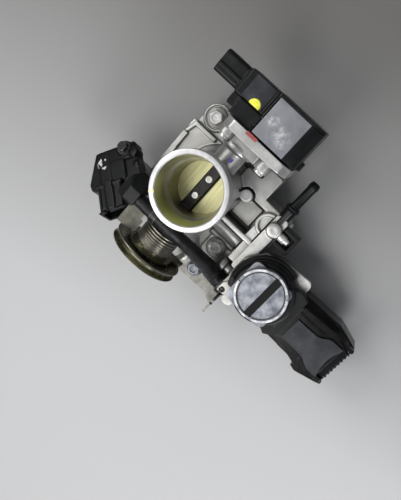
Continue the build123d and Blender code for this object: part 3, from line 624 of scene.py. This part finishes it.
def casting():
    """Soft-edged die casting round the barrel, with its webs, pads and pocket."""
    port = (*PORT, 0)
    extra = [
        # round ribs, walls and floor of the pocket
        rod_along_y(-22.0, 15.5, -46, -20, 3.4), rod_along_y(-30.5, 11.0, -46, -22, 2.6),
        box(-34, -11, -57.4, -48, 12, 26.0), box(-15, -10.8, -56, -14, 12, 28.4),
        box(-7.2, 10.6, -42.5, -16, 11, 15.5), box(14.6, 20.6, -57.4, -44, 8, 28.2),
        # bosses: the hose stub's, the position sensor's and one beside the barrel
        rod_along_y(-43.5, 17.0, -51.5, -46.5, 7.4), rod_along_y(-43.5, 17.0, -57.5, -50, 4.4),
        along_x(moved(lathe([(0, 36), (12.4, 36), (13.4, 37.2), (13.4, 40.2), (12.4, 41.5), (0, 41.5)], 48),
                      -SHAFT_Z, 0, 0)),
        rod_along_y(21.4, 20.0, -16, -4, 6.0),
        # bolt pad and the flange's edge ribs
        moved(lathe([(0, 4), (11.3, 4), (11.3, PAD_TOP - 0.4), (10.6, PAD_TOP + 0.3), (0, PAD_TOP + 0.3)]),
              *BOLTS[0], 0),
        prism([(-46, 47), (-20, 49.2), (14, 49.2), (14, 45), (-46, 43)], 2, 14.5),
        prism([(14, 49), (26, 46), (26, 24), (23, 24), (23, 44), (14, 46.5)], 8, 13.6),
    ]
    cuts = [
        lathe([(0, -5), (21.2, -5), (21.2, 78), (23.6, 82.5), (30, 85), (30, 100), (0, 100)], 96),
        moved(lathe([(5.5, 19), (7.3, 19), (7.3, 40), (5.5, 40)], 48, closed=True), *port),
        box(-17.6, -15.6, -46, -19, 15, 40),
    ]
    for (x, y), inner, outer, deep in zip(BOLTS, (8.1, 7.6), (9.7, 8.8), (1.2, 0.8)):
        groove = [(inner, PAD_TOP - deep), (outer, PAD_TOP - deep), (outer, 30), (inner, 30)]
        cuts.append(moved(lathe(groove, 60, closed=True), x, y, 0))
    moulded("body_casting", ["throttle_body", "throttle_barrel"], extra, cuts, "cast", voxel=0.5, keep=0.34)


def lip_mark():
    """Small greenish witness mark across the lip."""
    outline = [(-0.9, 24.9), (0.9, 24.9), (0.7, 28.8), (-0.7, 28.8)]
    mark = placed(prism(outline, 95.9, 96.06), Matrix.Rotation(math.radians(43), 4, "Z"))
    piece("lip_mark", mark, "brass", slot="bright_aluminium", bevel=0.02)


def bolts():
    heads = [moved(placed(hex_bolt(10.6, 7.3, 6.2), Matrix.Rotation(math.radians(turn), 4, "Z")), x, y, PAD_TOP)
             for (x, y), turn in zip(BOLTS, (8, 20))]
    shanks = [moved(lathe([(0, -22), (2.4, -22), (3, -21.2), (3, 0.5), (0, 0.5)], 32), x, y, PAD_TOP)
              for x, y in BOLTS]
    piece("flange_bolts", merge(*heads, *shanks), "zinc", stands_for=["manifold_bolts"], sharp=24)
    bracket_bolt = merge(hex_bolt(10, 7.0, 6), lathe([(0, -8), (2.9, -8), (2.9, 0.5), (0, 0.5)], 32))
    piece("bracket_bolt", moved(bracket_bolt, *BRACKET_BOLT), "satin", stands_for=["cable_bracket_bolt"], sharp=24)


def port_cap():
    """Bright round plug with one side cut flat."""
    cap = lathe([(0, 27), (4.9, 27), (5.1, 27.3), (5.1, 28.7), (4.7, 29.1), (2.8, 29.2), (2.4, 28.8), (0, 28.7)], 48)
    piece("port_cap", moved(flat_sided(cap, -4.2), *PORT, 0), "face", stands_for=["port_plug"])


# ---- throttle shaft, drum and spring ----
def drum():
    """Cable drum with a groove between two rolled rims, and a paler lip on the right one as a painted highlight."""
    left, right = DRUM_X
    profile = [(5.5, left + 2), (9, left + 2), (9.5, left + 2.4), (22, left + 2.4), (25, left + 0.6),
               (28.6, left), (29.3, left + 0.3), (29.5, left + 0.9), (28.6, left + 1.7), (26.2, left + 2.5),
               (25.7, left + 3.4), (26.0, left + 4.9), (27.9, left + 5.9), (29.1, right - 1.3),
               (29.5, right - 0.7), (29.0, right - 0.2), (28.2, right), (25.5, right - 0.9), (22, right - 1.7),
               (9.5, right - 1.7), (9, right - 1.2), (5.5, right - 1.2)]
    wheel = moved(along_x(lathe(profile, 144, closed=True)), 0, 0, SHAFT_Z)
    piece("drum_wheel", wheel, "drum", "throttle", ["cable_drum"], sharp=40)
    # painted highlight: a paler steel lip along the right rim
    lip = [(29.35, right - 1.1), (29.56, right - 0.7), (29.3, right - 0.1), (28.4, right + 0.1), (27.4, right - 0.2),
           (27.3, right - 0.6)]
    piece("drum_rim_painted_highlight", moved(along_x(lathe(lip, 144, closed=True)), 0, 0, SHAFT_Z), "spring", "throttle",
          slot="drum_steel", sharp=40)


def helix(x0, x1, radius, turns, start, tight=0.45):
    """Coils round the shaft axis, close together at x0 and spread towards x1."""
    steps = int(turns * 48)
    path = []
    for i in range(steps + 1):
        t = i / steps
        spread = t + tight * (t * t - t)
        angle = start + 2 * math.pi * turns * t
        path.append((x0 + (x1 - x0) * spread, radius * math.cos(angle), SHAFT_Z + radius * math.sin(angle)))
    return path


def return_spring():
    """Coils round the shaft beside the drum, attached to no body."""
    path = helix(-60.6, -45.4, 14.6, 8.25, 0.9)
    coils = mesh_from("spring_coils", tube(path, [0.95] * len(path), 12))
    obj = link("spring_coils", coils, "spring", None, ["return_spring"])
    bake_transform(obj)


def spring_plate():
    """Stepped steel plate beside the drum that holds the spring's fixed leg."""
    outline = [(-63.6, 33), (-63.6, 20.4), (-61.2, 19.8), (-60.4, 16.8), (-59.4, 16.3), (-51.6, 16.3), (-50.8, 17),
               (-50.2, 18.6), (-45, 18.6), (-45, 15), (-30, 15), (-30, 25.4), (-44, 26.5), (-46, 33)]
    piece("spring_plate", prism(outline, 60, 62), "olive", stands_for=["spring_anchor"], bevel=0.5)
    edge = [(-61.4, 19.4, 61.9), (-60.6, 16.7, 61.9), (-51.6, 16.1, 61.9), (-50.3, 18.3, 61.9), (-45.4, 18.4, 61.9)]
    piece("spring_plate_edge", tube(edge, [0.35] * len(edge), 10), "sheet", slot="zinc_steel")


# ---- idle valve ----
def idle_cap():
    """Round cap with a broken raised rim, a dark groove inside it and a black band across."""
    x, y = VALVE
    r = CAP_R
    disc = lathe([(0, 44.5), (r - 0.6, 44.5), (r, 45), (r, CAP_TOP - 0.5), (r - 0.4, CAP_TOP), (r - 2.4, CAP_TOP),
                  (r - 2.7, CAP_TOP - 0.5), (r - 3.3, CAP_TOP - 0.5), (r - 3.6, CAP_TOP), (0, CAP_TOP - 0.1)], 144)
    piece("cap_disc", moved(disc, x, y, 0), "satin", stands_for=["idle_motor_cap"], sharp=24)
    rims = [arc_bar(r - 2.2, r - 0.2, CAP_TOP - 0.4, CAP_TOP + 0.95, *span)
            for span in ((16, 82), (98, 186), (200, 306), (318, 356))]
    piece("cap_rim", moved(merge(*rims), x, y, 0), "rim", slot="bright_aluminium", bevel=0.3)
    groove = lathe([(r - 3.5, CAP_TOP - 0.45), (r - 2.5, CAP_TOP - 0.45), (r - 2.5, CAP_TOP - 0.3),
                    (r - 3.5, CAP_TOP - 0.3)], 120, closed=True)
    piece("cap_groove", moved(groove, x, y, 0), "dark", slot="bright_aluminium")
    band = box(-19, 19, -5.4, 1, CAP_TOP - 0.4, CAP_TOP + 0.12)
    piece("cap_band", moved(band, x, y, 0), "matt", stands_for=["idle_cap_band"], bevel=0.12)


def valve_casting():
    """Cast block under the motor, with its flange, screw boss and ear."""
    extra = [box(-36, 9, -64.0, -58.0, 10, 30.2),
             moved(lathe([(0, 12), (6.4, 12), (6.4, 30.5), (5.6, 32.2), (3.4, 32.6), (0, 32.4)], 48), 8.3, -60.2, 0),
             prism([(-57.8, -59.2), (-49.5, -59.2), (-44, -63), (-52, -72), (-57, -66)], 33, 34.2)]
    cuts = [moved(lathe([(0, 30), (2.4, 30), (2.4, 40), (0, 40)], 32), *EAR_HOLE)]
    moulded("valve_casting", ["idle_valve_casting"], extra, cuts, "cast", voxel=0.5, keep=0.35)


def motor_body():
    """Ribbed black motor body round the plate."""
    ribs = [(27.6, 28.6, 34, 38.6, -22, 108), (25.4, 26.4, 34, 40.2, -22, 108), (23.2, 24.2, 34, 42.4, -22, 108),
            (18.5, 23.4, 40, 43.4, 62, 112), (17.5, 23.2, 40, 42.6, -40, 30)]
    extra = [moved(arc_bar(*rib), *VALVE, 0) for rib in ribs]
    extra.append(prism([(-52, -103), (-12, -103), (-9, -109), (-12, -117), (-50, -117), (-55, -109)], 30, 41))
    moulded("motor_moulding", ["idle_motor_body"], extra, [], "black")


def hood():
    """Plug hood: faceted shell with a flared, ribbed mouth, a raised panel, and a lip and a step on it."""
    def section(y, left, right, flat_left, flat_right, top, shoulder):
        return [(left, y, 13), (right, y, 13), (right, y, shoulder), (flat_right, y, top), (flat_left, y, top),
                (left, y, shoulder)]
    rows = [section(-110, -52, -13, -47, -20, 38.5, 34), section(-114, -55.5, -10, -47, -21, 40, 33),
            section(-126, -55.8, -9.8, -47, -21.5, 40.3, 32), section(-142, -56, -9.6, -48, -21, 40.3, 31),
            section(-144.5, -60.5, -9.5, -51, -18, 40, 29), section(-153, -60, -10.2, -53, -16, 39.6, 29),
            section(-163, -57, -13.5, -52, -17, 39, 29), section(-166.5, -56, -15.5, -51, -18, 38.2, 28.5)]
    points = [p for row in rows for p in row]
    sides = len(rows[0])
    ends = [tuple(range(sides)), tuple(range(len(points) - sides, len(points)))[::-1]]
    shell = points, ends + skin(len(rows), sides)
    ribs = [box(-46.5 + 3.6 * i, -45.3 + 3.6 * i, -167.9, -160, 30, 38.4) for i in range(8)]
    ears = [box(-53.5, -50.5, -167.9, -158, 24, 38.8), box(-18, -15, -167.9, -158, 24, 38.8)]
    mouth = placed(prism(rounded(-47, -17, 15, 27.5, 2), 128, 175), Matrix.Rotation(math.pi / 2, 4, "X"))
    lid_cut = box(-49, -20.5, -168, -160.6, 36.6, 45)
    waist = box(-70, -56.2, -142.6, -111, 5, 45)
    moulded("hood_shell", ["idle_connector_hood"], [shell, *ribs, *ears], [mouth, lid_cut, waist], "gloss")
    outline = [(-45.6, -120.8), (-26.2, -120.8), (-25.6, -139), (-24.4, -142.6), (-20.6, -147.6), (-19.6, -150.5),
               (-19.4, -161.2), (-23, -160.2), (-28, -158.8), (-35, -157.9), (-42, -158.8), (-47, -160.2),
               (-50.6, -161.2), (-50.8, -152.5), (-49.6, -149.5), (-46.6, -144), (-45.8, -140)]
    piece("hood_panel", prism(outline, 40, 42), "charcoal", stands_for=["idle_connector_lid"], bevel=0.7)
    along = [i / 24 for i in range(25)]
    bow = [math.sin(math.pi * t) for t in along]
    lip = [(-50 + 30.6 * t, -160.8 + 3.6 * b, 39.8) for t, b in zip(along, bow)]
    piece("hood_lip", tube(lip, [0.6 + 0.8 * b for b in bow], 12), "charcoal", slot="black_plastic")
    piece("hood_step", box(-45, -24, -112.2, -110.9, 39, 41.3), "charcoal", slot="black_plastic", bevel=0.4)


# ---- sensors ----
# Turns a prism drawn from (y, z) points so that it runs along X.
FROM_YZ = Matrix(((0, 0, 1, 0), (1, 0, 0, 0), (0, 1, 0, 0), (0, 0, 0, 1)))


def throttle_sensor():
    """Position sensor: moulded body with its plug, grey lid, panel and coloured marks."""
    extra = [box(54.8, 67.8, -1, 20.5, 60, 70.2), box(60.0, 68.0, 19, 27.0, 58, 68.4),
             box(68.0, 88.4, 1, 26.5, 40, 68.2), box(68.5, 87, 25, 28, 46, 67.4), box(55, 62, -43.5, -38, 40, 47),
             box(75.0, 76.6, 28, 49, 65, 66.8)]
    cuts = [box(67.9, 68.7, 2.5, 26, 64.5, 72), box(58.4, 59.2, -38, 1, 69.3, 75)]
    moulded("tps_moulding", ["tps_housing"], extra, cuts, "black")
    profile = [(-1.0, 69.6), (-1.0, 75.8), (-2.6, 77.2), (-30.5, 77.2), (-32.4, 76.2), (-40, 70.8), (-40.4, 69.6)]
    lid = placed(prism(profile, 56.4, 86.8), FROM_YZ)
    obj = piece("tps_lid", lid, ["grey", "black"], stands_for=["tps_cover"], bevel=0.9)
    for polygon in obj.data.polygons:
        polygon.material_index = 0 if polygon.normal.z > 0.9 else 1
    side = [(y * 0.985 - 0.3, z - 0.5) for y, z in profile]
    piece("tps_lid_side", placed(prism(side, 86.8, 88.6), FROM_YZ), "black", slot="grey_plastic", bevel=0.6)
    piece("tps_lid_seam", box(68.0, 68.25, -15, -1.4, 77.0, 77.24), "dark", slot="grey_plastic")
    piece("tps_panel", box(69.4, 87.4, 3.4, 21.5, 67.9, 68.5), "charcoal", slot="black_plastic", bevel=0.3)
    blob = flat_sided(lathe([(0, 68.2), (4.5, 68.2), (4.6, 68.4), (3.4, 68.75), (0, 68.95)], 40), -0.8)
    piece("paint_spot", moved(blob, 69.9, 9.6, 0.3), "yellow", slot="black_plastic", sharp=60)
    piece("red_mark", box(52.4, 55.2, -9.4, 0.2, 74.7, 75.35), "red", slot="cast_aluminium", bevel=0.25)
    dot = moved(along_x(arc_bar(10.3, 10.64, 28.4, 31.6, 188, 207)), 0, 0, SHAFT_Z)
    piece("ink_dot", dot, "violet", slot="cast_aluminium", bevel=0.15)


def sensor_frame():
    """Frame of the leaning pressure sensor: X out of the plug, Z off its lid."""
    turn, tilt = math.radians(-29), math.radians(25)
    across = Vector((math.cos(turn), math.sin(turn), 0))
    out = Vector((math.sin(turn) * math.cos(tilt), -math.cos(turn) * math.cos(tilt), math.sin(tilt)))
    up = out.cross(across)
    side = up.cross(out)
    return Matrix.Translation(SENSOR_PLUG) @ Matrix((out, side, up)).transposed().to_4x4()


def smear(x, y, long, wide, phase):
    """Uneven outline of a rubbed mark."""
    turns = [2 * math.pi * i / 28 for i in range(28)]
    uneven = [1 + 0.22 * math.sin(3 * t + phase) + 0.12 * math.sin(7 * t + 2 * phase) for t in turns]
    return [(x + long * k * math.cos(t), y + wide * k * math.sin(t)) for t, k in zip(turns, uneven)]


def pressure_sensor():
    """Leaning pressure sensor: plug, lid frame and bosses, and the block that holds the hose's upper end."""
    tilted = sensor_frame()
    extra = [placed(shape, tilted) for shape in (
        # latch bridge over the plug, raised frame round the lid, and a block beside it
        prism(rounded(-26, -2, -3.2, 3.2, 1.2), 7.5, 9.3), prism(rounded(-53, -25, -8, 25, 3), 2, 4.4),
        prism(rounded(-40, -22, 12, 27, 3), -7, 5.2),
        # collars at both ends of the plug, and two rails on it
        box(-24.5, -22.5, -11.2, 11.2, -7, 8.4), box(-1.6, -0.2, -11.3, 11.3, -8.3, 8.4),
        box(-20, -4, 3.0, 3.9, 7, 9.1), box(-20, -4, -8.6, -7.8, 7, 9.0),
        # two bosses
        moved(lathe([(0, -4), (4.2, -4), (4.2, 5.4), (3.4, 6.2), (0, 6.4)], 32), -45, 24, 0),
        moved(lathe([(0, -4), (2.2, -4), (2.2, 5.8), (0, 6.2)], 24), -34, 25, 0))]
    cuts = [placed(prism(rounded(-18, 4, -8.9, 8.9, 1.5), -6, 6), tilted),
            placed(box(-54, -26, 1.2, 2.0, 3.9, 7), tilted)]
    slopes = (((-31, 30, 79.1), "Y", 36, box(0, 30, -12, 24, 0, 20)),
              ((-35, 37, 79.1), "X", -42, box(-20, 24, 0, 30, 0, 20)),
              ((-41, 30, 79.1), "Y", -38, box(-30, 0, -12, 24, 0, 20)))
    for corner, axis, lean, wedge in slopes:
        cuts.append(placed(wedge, Matrix.Translation(corner) @ Matrix.Rotation(math.radians(lean), 4, axis)))
    moulded("map_moulding", ["map_sensor_housing"], extra, cuts, "black", smooth=3)
    marks = [placed(prism(smear(*mark), 4.2, 4.52), tilted)
             for mark in ((-45.6, -6.0, 2.9, 1.5, 0.3), (-40.0, -3.4, 1.2, 1.9, 1.1), (-46.8, -1.6, 0.9, 0.7, 2.0))]
    piece("chalk_marks", merge(*marks), "chalk", slot="black_plastic", bevel=0.05)


def hose():
    """Moulded hose that swells towards its lower end, with a slightly uneven skin."""
    corners = [(-36.5, 27, 72.5), (-36.6, 10, 72.6), (-37.4, -8, 70.5), (-40.5, -22, 59), (-46.5, -35, 41),
               (-52.6, -46.5, 24), (-55.6, -56, 18.2), (-56, -66, 18)]
    route = smooth_route(corners, 16)
    total = len(route) - 1
    radii = [5.3 + 2.3 * min(1.0, max(0.0, (i / total - 0.42) / 0.3)) + 0.10 * math.sin(i * 0.9)
             for i in range(total + 1)]
    piece("hose_tube", tube(route, radii, 40), "rubber", stands_for=["breather_hose"], sharp=50)


def nipple():
    """Coolant nipple with a collar and a hose bead, and two thin rings on it."""
    profile = [(2.4, 11), (4.7, 11), (4.7, 27.6), (5.2, 28.3), (5.9, 28.8), (5.9, 30.3), (5.2, 30.9), (4.0, 31.6),
               (3.8, 34), (3.8, 50), (4.25, 51.6), (4.25, 53.0), (3.9, 54.4), (3.5, 55.7), (3.0, 56), (2.4, 55.6)]
    shape = moved(along_x(lathe(profile, 48, closed=True)), *NIPPLE)
    piece("nipple_pipe", shape, "black", stands_for=["coolant_nipple"], sharp=45)
    for x in (27.2, 31.6):
        ring = lathe([(4.4, x - 0.3), (5.2, x - 0.3), (5.2, x + 0.3), (4.4, x + 0.3)], 40, closed=True)
        piece("nipple_ring", moved(along_x(ring), *NIPPLE), "black", slot="black_steel")


def guard():
    """Open black box round the adjusting screw, and the screw itself."""
    walls = [box(-0.5, 2.6, -80, -66.2, 18, 30), box(13.2, 16.5, -80, -66.2, 18, 30),
             box(-0.5, 16.5, -80, -77.6, 18, 30), box(-0.5, 16.5, -80, -66.2, 18, 21)]
    moulded("guard_box", ["bypass_screw_guard"], walls, [], "black", voxel=0.35, keep=0.5)
    ribs = [box(x, x + 1.0, -77, -70, 21, 27) for x in (3.0, 11.6)]
    piece("guard_ribs", merge(*ribs), "black", slot="black_plastic", bevel=0.2)
    profile = [(0, 57), (2, 57), (2, 66), (3.3, 66.1), (3.5, 66.6), (3.5, 71.4), (3.2, 71.9), (2.5, 72.1),
               (2.4, 74.4), (1.9, 74.9), (0, 75)]
    screw = moved(along_y(lathe([(r, -z) for r, z in profile], 40)), *BYPASS)
    piece("adjusting_screw", screw, "zinc", stands_for=["bypass_screw"], sharp=40)


# ---- finish the CAD nodes that stay ----
CAD_BEVEL = {"cable_bracket": 0.4, "stop_lever": 0.3, "spring_collar": 0.4, "idle_motor_plate": 0.5,
             "map_sensor_lid": 0.4}
# Nodes that look different from their slot.
CAD_LOOK = {"throttle_shaft": "shaft", "cable_bracket": "sheet", "spring_collar": "drum"}


def finish_cad():
    for name, obj in frame["nodes"].items():
        obj.data.materials.clear()
        obj.data.materials.append(MATERIALS[CAD_LOOK.get(name, SLOT_LOOK[NODE_SLOT[name]])])
        if name in CAD_BEVEL:
            bevelled(obj, CAD_BEVEL[name])


# ---- camera, floor and lights ----
def add_camera():
    """Camera above the inlet, leaning towards the position sensor. Places are in metres."""
    place = Vector((0.10246, -0.0663, 0.50369))
    target = Vector((-0.0539, -0.0260, 0.0))
    picture_top = math.radians(42.2)
    back = (place - target).normalized()
    right = Vector((math.cos(picture_top), math.sin(picture_top), 0)).cross(back).normalized()
    up = back.cross(right)
    data = bpy.data.cameras.new("camera")
    data.sensor_fit = "VERTICAL"
    data.sensor_height = 36.0
    data.lens = 44.64
    camera = bpy.data.objects.new("camera", data)
    camera.matrix_world = Matrix.Translation(place) @ Matrix((right, up, back)).transposed().to_4x4()
    bpy.context.scene.collection.objects.link(camera)
    bpy.context.scene.camera = camera


def add_light(name, size, place, power, colour=(1, 1, 1)):
    """Square lamp that points at the frame's origin. Size and place are in metres."""
    data = bpy.data.lights.new(name, "AREA")
    data.size = size
    data.energy = power
    data.color = colour
    light = bpy.data.objects.new(name, data)
    light.location = place
    light.rotation_euler = Vector(place).to_track_quat("Z", "Y").to_euler()
    bpy.context.scene.collection.objects.link(light)


def floor_material():
    """Pale surface with painted shade that darkens it across the picture."""
    n = Nodes("pale_floor")
    x, y, _ = n.xyz()
    # painted shade: the floor darkens towards +X and +Y
    shade_slope = n.ramp(n.math("ADD", n.math("MULTIPLY", x, 0.9), n.math("MULTIPLY", y, 0.25)), 0.0, 1.0, -0.15, 0.16)
    tone = n.mix(shade_slope, rgb(0.43, 0.43, 0.435), rgb(0.155, 0.150, 0.143))
    n.set(Base_Color=tone, Roughness=n.ramp(n.noise(30, 3), 0.5, 0.6), Specular_IOR_Level=0.25)
    n.set(Normal=n.bump(n.noise(700, 2), 0.04, 0.0001))
    return n.material


def add_world():
    """Dim room, brighter overhead than round the sides."""
    world = bpy.data.worlds.new("world")
    world.use_nodes = True
    tree = world.node_tree
    coords = tree.nodes.new("ShaderNodeTexCoord").outputs["Generated"]
    parts = tree.nodes.new("ShaderNodeSeparateXYZ")
    tree.links.new(coords, parts.inputs[0])
    height = tree.nodes.new("ShaderNodeMapRange")
    for key, value in {"From Min": 0.1, "From Max": 0.95, "To Min": 0.05, "To Max": 0.36}.items():
        height.inputs[key].default_value = value
    tree.links.new(parts.outputs["Z"], height.inputs["Value"])
    background = tree.nodes["Background"]
    background.inputs[0].default_value = (0.92, 0.95, 1.0, 1)
    tree.links.new(height.outputs["Result"], background.inputs[1])
    bpy.context.scene.world = world


def add_stage():
    """Floor under the lowest point of the CAD, three lamps and the dim room."""
    lowest = cad_box[0][2]
    bpy.ops.mesh.primitive_plane_add(size=6, location=(0, 0, lowest))
    floor = bpy.context.object
    floor.name = "floor"
    floor.data.materials.append(floor_material())
    add_light("key", 0.60, (-0.50, 0.10, 0.75), 5.0, (1.0, 0.99, 0.97))
    add_light("top", 0.35, (0.05, 0.55, 0.70), 2.6)
    add_light("low", 0.30, (-0.40, -0.60, 0.55), 4.2, (0.96, 0.98, 1.0))
    add_world()
    bpy.context.scene.view_settings.view_transform = "Standard"


finish_cad()
inlet_barrel()
casting()
lip_mark()
bolts()
port_cap()
drum()
return_spring()
spring_plate()
idle_cap()
valve_casting()
motor_body()
hood()
throttle_sensor()
pressure_sensor()
hose()
nipple()
guard()
add_camera()
add_stage()
